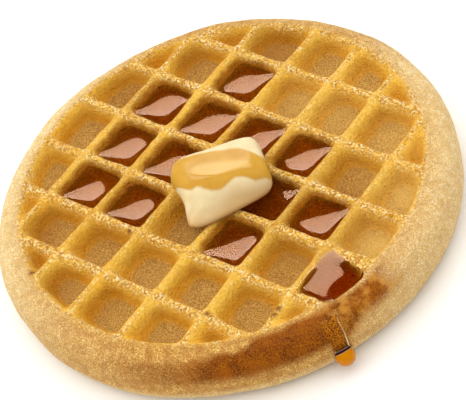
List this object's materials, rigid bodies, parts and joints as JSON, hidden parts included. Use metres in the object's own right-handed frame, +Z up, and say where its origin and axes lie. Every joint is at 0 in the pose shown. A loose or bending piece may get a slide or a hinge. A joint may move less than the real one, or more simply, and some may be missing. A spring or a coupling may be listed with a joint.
{
  "type": "waffle",
  "caption": "Round toasted waffle with square wells pressed into both faces, a melting pat of butter on top, and syrup that fills some wells and runs over the rim to a drop.",
  "frame": {"origin": "middle of the waffle's footprint, on its underside", "axes": "+Z up, out of the face with the syrup; the ridges run along X and Y, and the syrup runs over the rim towards +X, a little to -Y"},
  "size_m": [0.1022, 0.1018, 0.0183],
  "materials": {
    "crust": "toasted batter, grainy",
    "syrup": "clear dark amber syrup",
    "butter": "soft butter, partly melted"
  },
  "bodies": {
    "root": {"waffle": "crust", "butter": "butter", "syrup_01": "syrup", "syrup_02": "syrup", "syrup_03": "syrup", "syrup_04": "syrup", "syrup_05": "syrup", "syrup_06": "syrup", "syrup_07": "syrup", "syrup_08": "syrup", "syrup_09": "syrup", "syrup_10": "syrup", "syrup_11": "syrup", "syrup_12": "syrup", "syrup_spill": "syrup"}
  },
  "joints": []
}
